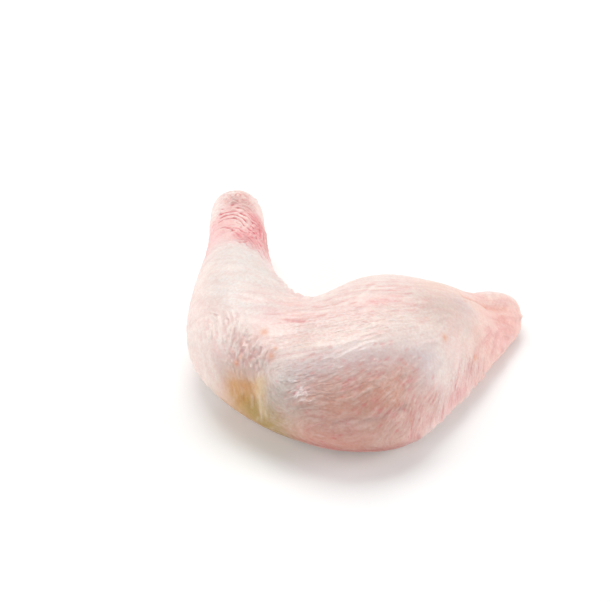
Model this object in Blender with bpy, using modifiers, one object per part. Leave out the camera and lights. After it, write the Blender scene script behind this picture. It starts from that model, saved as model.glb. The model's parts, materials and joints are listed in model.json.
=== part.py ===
"""Raw chicken leg quarter, lying skin side up: the drumstick and the thigh are one solid of meat and
skin, and the knuckle of the shin bone shows at the hock cut.

Metres, +Z up. +X runs along the thigh from the knee to the hip, +Y from the thigh to the hock.
The origin is on the surface that the leg lies on, below the middle of the leg's bounding box.
"""

from collections import namedtuple
from math import cos, pi, sin

import bmesh
import bpy
from mathutils import Matrix, Vector

MM = 0.001

# The leg's cross-sections, from the hock round the knee to the hip, in millimetres.
# inner and outer are the section's ends seen from above, on the hollow and the outer side of the bend.
# top and under are its highest and lowest points. mid_in and mid_out are the heights of its two ends.
# full_in and full_out shape each half: 2 is an ellipse, less is a wedge and more is boxy.
Section = namedtuple("Section", "name inner outer top under mid_in mid_out full_in full_out")
SECTIONS = (
    Section("hock_cut", (-42.5, 109.5), (-58.5, 109.5), 30.5, 14.5, 22.5, 22.5, 2.2, 2.2),
    Section("hock_rim", (-38, 109), (-62.5, 109), 34.5, 10.5, 22.5, 22.5, 2.2, 2.2),
    Section("hock", (-36.5, 99), (-63.5, 99), 36, 9, 22.5, 22.5, 2.2, 2.2),
    Section("shank", (-37, 86.5), (-62.5, 86.5), 35, 8, 21.5, 21.5, 2.1, 2.1),
    Section("shin", (-36, 73), (-62.5, 73), 36, 5.5, 21.5, 20.5, 2.1, 2.1),
    Section("low_calf", (-33.5, 58.5), (-64.5, 59.5), 39, 2, 21.5, 20, 2.1, 2.1),
    Section("calf", (-29, 45), (-67, 45), 41.5, -2, 21.5, 19, 2.1, 2.1),
    Section("high_calf", (-24.5, 36), (-69.5, 27), 43, -3.5, 21.5, 19, 2.1, 2.1),
    Section("knee_side", (-20.5, 30.5), (-68, 8), 42.5, -3.5, 21.5, 18, 2.1, 2.1),
    Section("knee", (-17, 29), (-58, -8), 41.5, -3.5, 21.5, 17, 2.1, 2.1),
    Section("knee_front", (-13.5, 29.5), (-42.5, -23.5), 41.5, -3.5, 21.5, 17, 2.1, 2.1),
    Section("low_thigh", (-9, 34), (-23.5, -36), 43, -3.5, 21.5, 17, 2.1, 2.1),
    Section("thigh_front", (-2.5, 42.5), (-6.5, -42), 45.5, -3.5, 20.5, 16, 2.1, 2.1),
    Section("thigh", (8, 49), (7, -42), 46, -3.5, 20, 13.5, 2.1, 2.0),
    Section("thigh_crown", (20, 49.5), (19.5, -38), 44.5, -3.5, 19, 10, 2.1, 1.8),
    Section("upper_thigh", (31.5, 49.5), (31, -27), 40.5, -3.5, 18, 7, 2.1, 1.6),
    Section("hip_side", (41.5, 49.5), (41.5, -11.5), 35.5, -3.5, 16, 5.5, 2.0, 1.5),
    Section("hip", (49.5, 50.5), (51.5, 3), 27, -3.5, 13.5, 5, 2.0, 1.5),
    Section("flap", (56.5, 51.5), (61, 19.5), 17, -3.5, 10, 5, 2.0, 1.7),
    Section("flap_end", (65, 53), (70.5, 33.5), 13.5, -3.5, 8, 5.5, 2.0, 1.8),
    Section("flap_tip", (71.5, 51), (77, 43), 11, -2, 6.5, 6, 2.0, 2.0),
)
POINTS_ROUND = 16  # points of the cage in each section
CAGE_GROW = 6 / (4 + 2 * cos(2 * pi / POINTS_ROUND))  # subdivision pulls the skin in by this much
SUBDIVISIONS = 3

# Rounded masses that the sections leave out, as ellipsoids: middle, half sizes and turn about Z.
Mass = namedtuple("Mass", "name middle half_sizes turn")
MASSES = (
    Mass("tail_lobe", (58.5, 49, 8.5), (17.5, 10.5, 8.5), 0.16),
)

SKIN_VOXEL = 3.2  # facet size of the skin, which also blends the masses in
SKIN_SMOOTHING = 12  # passes over those facets

# The shin bone's knuckle in the hock cut: two rounded condyles on a short shank, in millimetres.
BONE_MIDDLE = (-50.5, 105.5, 22.5)
CONDYLE_HALF_SIZES = (7.5, 6.2, 6.4)
CONDYLE_SPACING = 5.5  # one above the other, as the leg lies on its side
SHANK_RADIUS = 5.5
SHANK_LENGTH = 15.0
BONE_VOXEL = 1.6
BONE_SMOOTHING = 3
CLEARANCE = 0.3  # between the bone and the meat round it

ROUND_SEGMENTS = 24  # round an ellipsoid or the bone's shank
FLOOR_CUTTER_SIZE = 400.0
FLOOR_CUTTER_DEPTH = 40.0

SKIN_COLOUR = (0.86, 0.66, 0.61, 1)
BONE_COLOUR = (0.82, 0.74, 0.72, 1)


def clear_scene():
    for old in list(bpy.data.objects):
        bpy.data.objects.remove(old)


def collection(name):
    made = bpy.data.collections.new(name)
    bpy.context.scene.collection.children.link(made)
    return made


def add_object(name, mesh, where):
    made = bpy.data.objects.new(name, mesh)
    where.objects.link(made)
    return made


def as_guide(guide):
    """A cutter or a mass that is only read by a modifier."""
    guide.hide_render = True
    guide.display_type = "WIRE"
    return guide


def material(name, colour, roughness):
    made = bpy.data.materials.new(name)
    made.use_nodes = True
    shader = made.node_tree.nodes["Principled BSDF"]
    shader.inputs["Base Color"].default_value = colour
    shader.inputs["Roughness"].default_value = roughness
    shader.inputs["Metallic"].default_value = 0.0
    return made


def power(value, exponent):
    """A power that keeps the sign."""
    return abs(value) ** exponent * (1 if value >= 0 else -1)


def section_points(section):
    """The section's outline: a superellipse whose two halves have their own fullness."""
    inner, outer = Vector((*section.inner, 0)), Vector((*section.outer, 0))
    points = []
    for step in range(POINTS_ROUND):
        angle = 2 * pi * step / POINTS_ROUND
        across, up = cos(angle), sin(angle)
        fullness = section.full_out if across > 0 else section.full_in
        side = power(across, 2 / fullness) * CAGE_GROW
        lift = power(up, 2 / fullness) * CAGE_GROW
        share = (1 + side) / 2
        middle = section.mid_in + (section.mid_out - section.mid_in) * share
        reach = section.top - middle if lift > 0 else middle - section.under
        point = inner.lerp(outer, share)
        point.z = middle + lift * reach
        points.append(point * MM)
    return points


def leg_cage():
    """The sections joined ring to ring, closed at the hock and at the hip."""
    cage = bmesh.new()
    rings = [[cage.verts.new(point) for point in section_points(s)] for s in SECTIONS]
    for near, far in zip(rings, rings[1:]):
        for step in range(POINTS_ROUND):
            after = (step + 1) % POINTS_ROUND
            cage.faces.new((near[step], near[after], far[after], far[step]))
    cage.faces.new(rings[0])
    cage.faces.new(rings[-1])
    bmesh.ops.recalc_face_normals(cage, faces=cage.faces)
    return mesh_from(cage, "leg_quarter")


def mesh_from(shape, name):
    mesh = bpy.data.meshes.new(name)
    shape.to_mesh(mesh)
    shape.free()
    return mesh


def add_ellipsoid(shape, middle, half_sizes, turn=0.0):
    place = (
        Matrix.Translation(Vector(middle) * MM)
        @ Matrix.Rotation(turn, 4, "Z")
        @ Matrix.Diagonal((*(Vector(half_sizes) * MM), 1))
    )
    bmesh.ops.create_uvsphere(
        shape, u_segments=ROUND_SEGMENTS, v_segments=ROUND_SEGMENTS // 2, radius=1, matrix=place
    )


def add_mass(mass, where):
    shape = bmesh.new()
    add_ellipsoid(shape, mass.middle, mass.half_sizes, mass.turn)
    return as_guide(add_object(mass.name, mesh_from(shape, mass.name), where))


def add_boolean(target, name, operation, operand):
    boolean = target.modifiers.new(name, "BOOLEAN")
    boolean.operation = operation
    if isinstance(operand, bpy.types.Collection):
        boolean.operand_type = "COLLECTION"
        boolean.collection = operand
    else:
        boolean.object = operand


def add_fine_skin(target, voxel, passes):
    """Blends what the target is made of into one skin of even facets, and smooths it."""
    remesh = target.modifiers.new("even facets", "REMESH")
    remesh.mode = "VOXEL"
    remesh.voxel_size = voxel * MM
    remesh.use_smooth_shade = True
    smooth = target.modifiers.new("smooth", "SMOOTH")
    smooth.factor = 0.5
    smooth.iterations = passes


def floor_cutter(where):
    """Everything below the surface that the leg lies on."""
    size, depth = FLOOR_CUTTER_SIZE * MM, FLOOR_CUTTER_DEPTH * MM
    block = bmesh.new()
    place = Matrix.Translation((0, 0, -depth / 2)) @ Matrix.Diagonal((size, size, depth, 1))
    bmesh.ops.create_cube(block, size=1, matrix=place)
    return as_guide(add_object("below_floor", mesh_from(block, "below_floor"), where))


def bone_direction():
    """The drumstick's direction at the hock, from the middles of two sections."""
    hock, shin = (next(s for s in SECTIONS if s.name == name) for name in ("hock", "shin"))
    ends = []
    for section in (shin, hock):
        middle = (Vector((*section.inner, 0)) + Vector((*section.outer, 0))) / 2
        middle.z = (section.mid_in + section.mid_out) / 2
        ends.append(middle)
    return (ends[1] - ends[0]).normalized()


def bone_mesh(name, grow):
    """The knuckle, grown all round by grow millimetres: two condyles and the shank behind them."""
    along = bone_direction()
    middle = Vector(BONE_MIDDLE)
    half_sizes = Vector(CONDYLE_HALF_SIZES) + Vector((grow, grow, grow))
    shape = bmesh.new()
    for side in (-1, 1):
        add_ellipsoid(shape, middle + Vector((0, 0, side * CONDYLE_SPACING / 2)), half_sizes)
    turn = along.to_track_quat("Z", "Y").to_matrix().to_4x4()
    place = Matrix.Translation((middle - along * (SHANK_LENGTH / 2)) * MM) @ turn
    bmesh.ops.create_cone(
        shape,
        cap_ends=True,
        segments=ROUND_SEGMENTS,
        radius1=(SHANK_RADIUS + grow) * MM,
        radius2=(SHANK_RADIUS + grow) * MM,
        depth=(SHANK_LENGTH + 2 * grow) * MM,
        matrix=place,
    )
    return mesh_from(shape, name)


def evaluated_mesh(source):
    """The source's mesh with its modifiers applied."""
    return bpy.data.meshes.new_from_object(source.evaluated_get(bpy.context.evaluated_depsgraph_get()))


def shift_to_middle(objects):
    """The move that puts the middle of the objects' bounding box above the origin."""
    bpy.context.view_layer.update()
    corners = []
    for each in objects:
        mesh = evaluated_mesh(each)
        corners += [vertex.co.copy() for vertex in mesh.vertices]
        bpy.data.meshes.remove(mesh)
    middle = [(min(c[axis] for c in corners) + max(c[axis] for c in corners)) / 2 for axis in (0, 1)]
    return Vector((-middle[0], -middle[1], 0))


def main():
    clear_scene()
    parts = collection("raw_chicken_leg_quarter")
    masses = collection("masses")
    cutters = collection("cutters")

    for mass in MASSES:
        add_mass(mass, masses)

    leg = add_object("leg_quarter", leg_cage(), parts)
    leg.data.materials.append(material("raw_skin", SKIN_COLOUR, 0.35))
    rounded = leg.modifiers.new("rounded", "SUBSURF")
    rounded.levels = rounded.render_levels = SUBDIVISIONS
    add_boolean(leg, "with masses", "UNION", masses)
    add_fine_skin(leg, SKIN_VOXEL, SKIN_SMOOTHING)
    add_boolean(leg, "lies flat", "DIFFERENCE", floor_cutter(cutters))

    bone = add_object("shin_bone", bone_mesh("shin_bone", 0), parts)
    bone.data.materials.append(material("cartilage", BONE_COLOUR, 0.25))
    add_fine_skin(bone, BONE_VOXEL, BONE_SMOOTHING)

    socket = as_guide(add_object("bone_socket", bone_mesh("bone_socket", CLEARANCE), cutters))
    add_fine_skin(socket, BONE_VOXEL, BONE_SMOOTHING)
    add_boolean(leg, "bone socket", "DIFFERENCE", socket)

    shift = shift_to_middle((leg, bone))
    for each in (leg, bone, socket, *masses.objects, cutters.objects["below_floor"]):
        each.location = shift


main()
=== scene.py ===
"""A raw chicken leg quarter with its moist skin: the drumstick and thigh with their wrinkles, blush and
follicles, and the knuckle of the shin bone in the hock.

Lengths are in millimetres, unless a name says otherwise. +Z is up, +X runs from the knee to the hip and
+Y from the thigh to the hock.
"""

import json
from collections import namedtuple
from functools import partial
from math import radians

import bpy
import numpy as np
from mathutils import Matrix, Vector, kdtree

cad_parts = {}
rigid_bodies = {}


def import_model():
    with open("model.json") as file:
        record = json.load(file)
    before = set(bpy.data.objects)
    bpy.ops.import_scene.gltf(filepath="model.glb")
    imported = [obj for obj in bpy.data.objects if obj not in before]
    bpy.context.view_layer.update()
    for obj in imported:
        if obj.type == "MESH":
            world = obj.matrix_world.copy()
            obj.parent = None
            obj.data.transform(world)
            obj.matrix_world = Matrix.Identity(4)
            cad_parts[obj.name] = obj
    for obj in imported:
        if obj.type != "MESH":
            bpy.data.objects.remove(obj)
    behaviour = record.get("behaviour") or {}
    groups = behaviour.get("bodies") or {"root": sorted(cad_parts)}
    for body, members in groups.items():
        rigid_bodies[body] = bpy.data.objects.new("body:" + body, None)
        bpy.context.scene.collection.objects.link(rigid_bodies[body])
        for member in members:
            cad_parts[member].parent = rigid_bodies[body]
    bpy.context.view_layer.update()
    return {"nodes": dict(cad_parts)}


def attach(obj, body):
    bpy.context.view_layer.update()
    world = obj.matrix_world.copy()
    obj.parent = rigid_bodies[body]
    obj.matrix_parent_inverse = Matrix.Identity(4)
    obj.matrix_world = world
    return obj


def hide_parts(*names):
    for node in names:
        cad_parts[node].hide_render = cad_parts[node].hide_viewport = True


MM = 0.001

# The camera stands in front of the thigh and looks down over it to the hock.
CAMERA_AT = (-22.3, -473.5, 394.8)
CAMERA_TILT = 52.0  # degrees from straight down
CAMERA_LENS = 85.0

# Sizes of the skin's mesh. Facets that are looked at are split in four, the upper ones of the hock and the
# knee's wrinkles once more, and after those the facets beside the hock's creases again.
SKIN_FACET = 1.5
SKIN_UNDERSIDE = 1.5  # facets whose middles are lower than this stay whole
LOOKED_AT_FROM = (-0.1, -0.75, 0.65)
LEAST_FACING = -0.15  # facets that turn away from there more than this aren't looked at
HOCK_STARTS_AT = 22.0
KNEE_WRINKLES = ((-57, -30, 35), (-44, -48, 34))
KNEE_WRINKLES_REACH = 8.0
KNEE_LEAST_FACING = -0.2
CREASE_SURROUNDINGS = 1.3

# How often each point is moved towards its neighbours to take away the remesher's steps.
SKIN_SMOOTHING = 4
SPLIT_SKIN_SMOOTHING = 3
KNUCKLE_SMOOTHING = 10
LAY_SMOOTHING = 60

# The hock's open end: the middle of the bone, how far the skin's rim is from it, how deep the bone's socket
# goes and where the cut tendons lie beside the bone.
BONE_MIDDLE = (-53.2, 22.5)  # across and up
FLESH_RADIUS = 10.4
SOCKET_BOTTOM = 55.5
TENDONS = ((-62.2, 25.0), (-61.8, 18.5), (-44.2, 26.5), (-44.5, 19.0))
TENDON_RADIUS = 1.4
TENDON_HEIGHT = 1.3
FLESH_FIBRES = 0.35
FLESH_DEPTH = 0.5  # how far the cut flesh has shrunk back

# The knuckle, and the groove between the bone's two knobs, which deepens from its start to the bone's end.
KNUCKLE_FACET = 0.6
GROOVE_REACH = 2.4
GROOVE_DEPTH = 1.3
GROOVE_STARTS_AT = 71.5
BONE_ENDS_AT = 75.5

# Colours of raw poultry, as sRGB hex values, and some that paint shade and highlights onto the skin.
CREAM = "F6E8E0"
PALE_PINK = "F8E0D9"
BLUSH = "F9CAC8"
RAW_PINK = "F09DA0"
LAVENDER = "D6CCCF"
MAUVE = "CEB2AA"
ROSE_BROWN = "D8A998"
WARM_BROWN = "BE8A76"
TAN = "CE9A52"
FAT_YELLOW = "B1944A"
AMBER = "DCA66C"
PALE_FAT = "ECD4A6"
SALMON = "FBCFC4"
PEACH = "F3D3C4"
BEIGE = "E3D0C7"
SPECK_ORANGE = "E89A6A"
PEARL = "E9E6E2"
SHADOW_GREY = "B8B9AD"
MILKY = "FBF1EA"
FOLD_PINK_AND_SHADE = "E4C0B8"
# Pink of the hollows between fine folds, darkened to paint their shade as well.
MOTTLE_PINK = "F0CFC8"
GRAIN_PINK = "ECD2CC"
CREASE_PINK = "D85E6C"
CREASE_ORANGE = "DA957C"
FLESH_RED = "BE6A63"
FLESH_PINK = "DC938A"
CARTILAGE_WHITE = "EBDED6"
CARTILAGE_BLUE = "D2CCD0"

# Which way the wrinkles run, seen from above: a place on the leg and an angle in degrees from +X.
Lay = namedtuple("Lay", "x y angle")
WRINKLE_LAY = (
    Lay(-53, 61, -4), Lay(-54, 53, 9), Lay(-47, 53, -30), Lay(-44, 49, -41), Lay(-41, 25, -62),
    Lay(-41, 39, -84), Lay(-61, 56, -44), Lay(-64, 30, 10), Lay(-52, 7, -12), Lay(-40, -17, -6),
    Lay(-52, -10, -5), Lay(-59, -16, -25), Lay(-22, -34, -1), Lay(-20, -39, 7), Lay(-53, -35, -80),
    Lay(-50, -36, -96), Lay(-44, -46, -100), Lay(-39, -53, -100), Lay(-55, -45, -50), Lay(-43, -58, -60),
    Lay(-38, -61, -70), Lay(-32, -66, -30), Lay(-25, -64, 6), Lay(-15, -74, -16), Lay(-21, -47, 1),
    Lay(1, -41, 22), Lay(7, -32, 12), Lay(23, -41, 31), Lay(-4, -57, 23), Lay(-3, -64, 25),
    Lay(1, -69, 30), Lay(18, -56, 47), Lay(9, -71, 47), Lay(18, -66, 66), Lay(32, -52, 68),
    Lay(38, -40, 79), Lay(45, -30, 79), Lay(53, -18, 65), Lay(58, 10, 22), Lay(37, -14, 23),
    Lay(-36, -38, 0), Lay(-32, -45, 2), Lay(-31, -53, -6), Lay(-38, -30, -5),
    Lay(-30, -69, -22), Lay(-21, -73, -14), Lay(-8, -76, -4), Lay(2, -76, 10), Lay(13, -72, 30),
    Lay(-38, 55, 0), Lay(-36, 15, -20), Lay(-8, 0, 10), Lay(15, 14, 5), Lay(40, 12, 15),
)

# Forms that stand out of the skin or sink into it: a path over the skin, how far they reach, how high.
Form = namedtuple("Form", "name path reach height")
FORMS = (
    Form("knuckle swelling of the hock", ((-50, 62, 35), (-48, 50, 35)), 9.0, 0.4),
    Form("inner side of the hock", ((-41, 46, 28), (-40, 34, 30)), 6.0, 0.9),
    Form("sloping shoulder of the hock", ((-43, 68, 29), (-42, 60, 29)), 6.0, -1.3),
    Form("red pimple of the hock", ((-47, 26.6, 37),), 2.0, 0.9),
    Form("second pimple of the hock", ((-51, 31, 37.5),), 2.4, 0.5),
    Form("hollow behind the hock", ((-44, 14, 36), (-41, 4, 38)), 6.0, -0.5),
    Form("valley between knee and thigh", ((-26, -42, 42), (-34, -52, 38), (-41, -56, 29)), 6.5, -1.2),
    Form("kneecap", ((-51, -36, 37), (-47, -45, 34)), 8.0, 0.6),
    Form("tendon under the skin", ((-39.5, -56, 30), (-37.8, -62, 19)), 2.8, 0.6),
    Form("thin skin beside the tendon", ((-44, -55.5, 27), (-43, -58.5, 20)), 4.5, -0.8),
    Form("hollow of the lower thigh", ((12, -60, 32), (22, -47, 35)), 7.0, -0.7),
    Form("roll of the upper thigh", ((-18, -50, 41), (0, -45, 44), (18, -36, 43)), 6.0, 0.5),
    Form("fold of the lower thigh", ((-11, -73.8, 24), (-5, -73.3, 26), (3, -73.1, 25), (15, -66.6, 25)),
         1.8, -0.9),
    Form("roll under that fold", ((-8, -76, 19), (6, -74.5, 19), (16, -69, 18)), 4.0, 0.4),
    Form("end of the thigh", ((48, -6, 25), (51, -12, 20)), 4.5, -0.4),
    Form("crease under the tail fold", ((43.4, -2, 29), (45.8, -0.3, 26.7), (49.2, 1.9, 23.2), (54, 3.4, 19)),
         1.6, -0.45),
    Form("soft end of that crease", ((54, 3.4, 19), (59.2, 5.8, 16), (63, 8, 14.5)), 1.6, -0.6),
    Form("tail fold", ((50, 9, 21), (55, 12, 17.5), (62, 14, 16)), 4.5, 1.3),
    Form("dimple of the flap", ((60, -3, 13),), 5.0, -0.5),
    Form("skin tag", ((70.6, 8.6, 10.2),), 1.3, 2.4),
    Form("nick above the tag", ((68.6, 10.6, 11.6),), 1.4, -0.7),
    Form("nick below the tag", ((70.0, 4.5, 9.0),), 2.0, -0.5),
)

# Rows of small lumps where the skin is bunched up: a path, how many, how far they stray from it, how wide and
# how high.
Lumps = namedtuple("Lumps", "name path count spread reach height")
LUMPS = (
    Lumps("goose skin above the crotch",
          ((-35, 4.5, 35), (-30.9, -3.7, 35.6), (-25.9, -9.5, 35.4), (-20, -16, 39)), 46, 1.6, 1.15, 0.5),
    Lumps("goose skin in the crotch", ((-28, -14, 39), (-19, -22, 41), (-10, -20, 42)), 26, 3.0, 1.0, 0.3),
    Lumps("lumps on the end of the hock", ((-54, 64, 34), (-50, 56, 35)), 16, 6.0, 0.95, 0.7),
    Lumps("lumps over the hock", ((-50, 50, 35), (-46, 26, 37)), 24, 6.0, 0.95, 0.6),
    Lumps("knotted skin of the knee", ((-49, -43, 34), (-41, -47, 36)), 64, 6.0, 0.85, 0.3),
    Lumps("uneven lower thigh", ((-28, -65, 27), (-5, -66, 34), (14, -62, 30)), 44, 9.0, 1.8, 0.2),
    Lumps("dimpled hip", ((20, -25, 43), (38, -22, 34)), 16, 10.0, 3.2, 0.2),
    Lumps("uneven lower edge", ((22, -63, 8), (38, -44, 8), (54, -22, 7), (68, -4, 7)), 30, 3.0, 1.7, 0.65),
)

CREASE_WANDERING = 3.0  # how far apart a crease's small turns are
CREASE_SWAY = 1.1  # and how wide they swing in all

# Creases that part the tight folds of the hock, each with how wide, how deep and how pink it is.
Crease = namedtuple("Crease", "path width depth blush")
CREASES = (
    Crease(((-57.3, 63.8, 34), (-54.6, 61.6, 35), (-52.1, 60.1, 35)), 0.6, 0.3, 0.2),
    Crease(((-57.7, 61, 34), (-54.8, 58.7, 35), (-51.7, 58, 35), (-48.9, 57.8, 35)), 0.6, 0.35, 0.25),
    Crease(((-58.4, 58, 34), (-55.2, 56, 35), (-52.5, 56, 35), (-50, 55.3, 35)), 0.6, 0.3, 0.3),
    Crease(((-59.4, 55.2, 33), (-56.6, 54.1, 34), (-50.4, 53.4, 35), (-47.6, 51.4, 34), (-45.1, 49.1, 33),
            (-42.9, 47.3, 31)), 0.42, 0.36, 0.8),
    Crease(((-60.2, 52.7, 32), (-57.6, 51.5, 34), (-52.3, 51, 35), (-49.5, 48.5, 35), (-46.6, 45.4, 34),
            (-43.9, 42.7, 32)), 0.42, 0.38, 0.95),
    Crease(((-59.8, 49.8, 33), (-57.2, 49.3, 34), (-52.2, 47.8, 35), (-49.9, 44.9, 35), (-47.1, 42.1, 34),
            (-44.3, 39.1, 33)), 0.42, 0.38, 1.0),
    Crease(((-59.9, 46.4, 32), (-57.9, 46.3, 34), (-52.6, 44.9, 35), (-50, 42.2, 35), (-47.8, 39.2, 35)),
           0.42, 0.36, 1.0),
    Crease(((-58.7, 40.1, 34), (-56.7, 39.1, 35), (-54.4, 36.7, 36), (-53, 34.3, 36)), 0.55, 0.25, 0.8),
    Crease(((-46.9, 37.8, 35), (-44.4, 35.1, 34), (-41.9, 32.1, 33)), 0.42, 0.36, 0.9),
    Crease(((-53.1, 37.1, 36), (-50.9, 36.5, 36), (-49.2, 34.2, 36), (-47, 32.5, 36)), 0.55, 0.3, 0.7),
    Crease(((-52.3, 32.1, 37), (-50.7, 30.5, 37), (-49.5, 28, 37)), 0.55, 0.3, 0.8),
    Crease(((-45.2, 33.5, 35), (-42.6, 28.9, 34), (-40.7, 24.1, 34), (-38.9, 18.2, 34)), 0.45, 0.3, 0.8),
    Crease(((-46.6, 28.2, 37), (-44.1, 23.9, 36), (-41.5, 18.8, 36), (-39.6, 13.7, 36)), 0.45, 0.25, 0.6),
    Crease(((-51.2, 24.3, 38), (-49.2, 22.1, 39), (-47.5, 24.3, 38)), 0.5, 0.3, 0.6),
)

# Skin gathered in fine folds along the wrinkles' lay: a path and how far round it they reach, how far apart,
# how long, how high, how pink in between and how much still finer wrinkling lies over them. Loose skin lies
# in even waves; the hock's skin is packed in broad folds with narrow creases in between.
Puckers = namedtuple("Puckers", "name path reach spacing length depth blush fine broad", defaults=(False,))
PUCKERS = (
    Puckers("hock", ((-51, 60, 35), (-48, 48, 35), (-44, 40, 33), (-42, 30, 32)),
            9, 1.3, 1.8, 0.36, 0.3, 0.3, True),
    Puckers("end of the hock", ((-55, 65, 34), (-50, 57, 35)), 5, 2.0, 0.9, 1.1, 0.5, 0.3, True),
    Puckers("inner side of the hock", ((-40, 48, 24), (-38, 26, 26)), 6, 1.5, 4.0, 0.6, 0.8, 0.3, True),
    Puckers("outer side of the hock", ((-61, 58, 29), (-62, 36, 30)), 7, 1.8, 2.0, 0.14, 0.2, 0.1, True),
    Puckers("below the hock", ((-50, 37, 36), (-46, 26, 37)), 6, 1.9, 1.0, 0.8, 0.5, 0.2, True),
    Puckers("drumstick", ((-54, 14, 38), (-52, -10, 41)), 18, 2.0, 3.5, 0.07, 0.08, 0.2),
    Puckers("below the drumstick", ((-48, -21, 41), (-32, -22, 40)), 8, 1.8, 3.5, 0.13, 0.2, 0.3),
    Puckers("crotch", ((-28, -30, 42), (-10, -31, 44)), 7, 1.7, 4.0, 0.16, 0.2, 0.4),
    Puckers("knee", ((-58, -32, 35), (-50, -39, 37)), 8, 1.5, 1.7, 0.22, 0.3, 0.3),
    Puckers("side of the knee", ((-68, -18, 26), (-66, -34, 22), (-57, -46, 20)),
            11, 2.0, 1.6, 0.1, 0.08, 0.2),
    Puckers("front of the knee", ((-46, -47, 33), (-38, -48, 38)), 7, 1.5, 1.0, 0.2, 0.25, 0.3),
    Puckers("thin skin", ((-45, -54, 24), (-34, -65, 18)), 7, 1.4, 1.6, 0.24, 0.0, 0.4),
    Puckers("thigh band", ((-24, -43, 42), (4, -38, 45), (22, -31, 43)), 8, 1.8, 5.0, 0.2, 0.12, 0.75),
    Puckers("thigh top", ((-6, -22, 44), (16, -16, 45)), 9, 1.8, 3.0, 0.1, 0.25, 0.2),
    Puckers("thigh front", ((-26, -63, 31), (0, -65, 35), (15, -60, 32)), 11, 1.5, 1.1, 0.17, 0.14, 0.4),
    Puckers("shiny front", ((-30, -60, 32), (-18, -68, 28)), 7, 1.4, 1.4, 0.26, 0.1, 0.8),
    Puckers("thigh edge", ((-14, -73, 17), (10, -72, 18)), 8, 1.7, 1.5, 0.15, 0.1, 0.3),
    Puckers("hip edge", ((16, -68, 20), (32, -52, 17), (47, -30, 14)), 8, 1.6, 2.2, 0.18, 0.28, 0.7),
    Puckers("flap", ((52, -16, 15), (62, 0, 12)), 8, 1.7, 2.4, 0.12, 0.25, 0.4),
    Puckers("tail fold", ((54, 11, 17), (64, 12, 15)), 6, 1.7, 3.0, 0.12, 0.2, 0.3),
    Puckers("hip", ((24, -16, 43), (40, -20, 31), (28, -36, 36)), 12, 2.0, 2.0, 0.04, 0.08, 0.15),
    Puckers("back of the thigh", ((0, 12, 22), (38, 16, 18)), 14, 2.6, 4.0, 0.25, 0.3, 0.5),
    Puckers("inside of the drumstick", ((-38, 18, 20), (-32, -8, 20)), 12, 2.6, 3.0, 0.2, 0.3, 0.4),
    Puckers("outside of the drumstick", ((-67, 20, 20), (-71, -10, 20)),
            13, 2.4, 3.0, 0.18, 0.25, 0.4),
    Puckers("underside of the hock", ((-53, 62, 12), (-53, 20, 9)), 9, 2.2, 3.0, 0.3, 0.5, 0.3, True),
)

# Single wrinkles that follow the lay: where, how far round it, how many, how long, how wide, how high and how
# pink. A height below zero is a crease.
Wrinkles = namedtuple("Wrinkles", "name path reach count length width height blush")
WRINKLES = (
    Wrinkles("hock", ((-50, 62, 34), (-44, 50, 31), (-41, 34, 31)), 6, 14, (3, 8), 0.42, -0.35, 0.4),
    Wrinkles("inner side of the hock", ((-40, 48, 24), (-38, 26, 27)), 5, 22, (8, 18), 0.42, -0.5, 0.8),
    Wrinkles("drumstick", ((-53, 18, 38), (-53, -12, 41)), 15, 60, (3, 9), 0.5, 0.12, 0.1),
    Wrinkles("crotch", ((-30, -33, 42), (-10, -37, 44)), 6, 22, (6, 15), 0.5, -0.25, 0.4),
    Wrinkles("knee", ((-57, -30, 36), (-50, -38, 38)), 5.5, 34, (2.5, 5), 0.5, 0.5, 0),
    Wrinkles("front of the knee", ((-47, -43, 36), (-38, -50, 36)), 5.5, 32, (1.5, 4), 0.5, 0.36, 0),
    Wrinkles("thin skin", ((-48, -52, 22), (-40, -60, 18), (-30, -67, 16)), 6, 46, (2, 5), 0.5, 0.18, 0),
    Wrinkles("thigh band", ((-24, -45, 42), (4, -40, 45), (22, -33, 42)), 9, 110, (6, 20), 0.5, 0.26, 0),
    Wrinkles("creases of the thigh band", ((-24, -43, 42), (4, -38, 45)), 9, 30, (8, 20), 0.5, -0.2, 0.3),
    Wrinkles("thigh top", ((-6, -28, 45), (14, -20, 45)), 11, 60, (2, 6), 0.5, -0.12, 0.5),
    Wrinkles("thigh front", ((-27, -63, 30), (0, -64, 36), (15, -58, 33)), 13, 130, (1.2, 3.5), 0.5, 0.24, 0),
    Wrinkles("marks of the thigh front", ((-16, -66, 30), (14, -62, 32)),
             13, 190, (1.0, 2.4), 0.45, -0.07, 0.5),
    Wrinkles("thigh edge", ((-12, -73, 17), (8, -72, 20)), 8, 26, (4, 8), 0.5, 0.12, 0),
    Wrinkles("hip edge", ((14, -68, 22), (32, -52, 17), (47, -30, 14)), 9, 60, (4, 10), 0.5, 0.2, 0),
    Wrinkles("creases of the hip edge", ((18, -66, 18), (44, -32, 14)), 8, 26, (5, 12), 0.5, -0.2, 0.5),
    Wrinkles("hip", ((24, -18, 42), (42, -16, 30)), 12, 20, (4, 10), 0.5, -0.07, 0.15),
)
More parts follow.
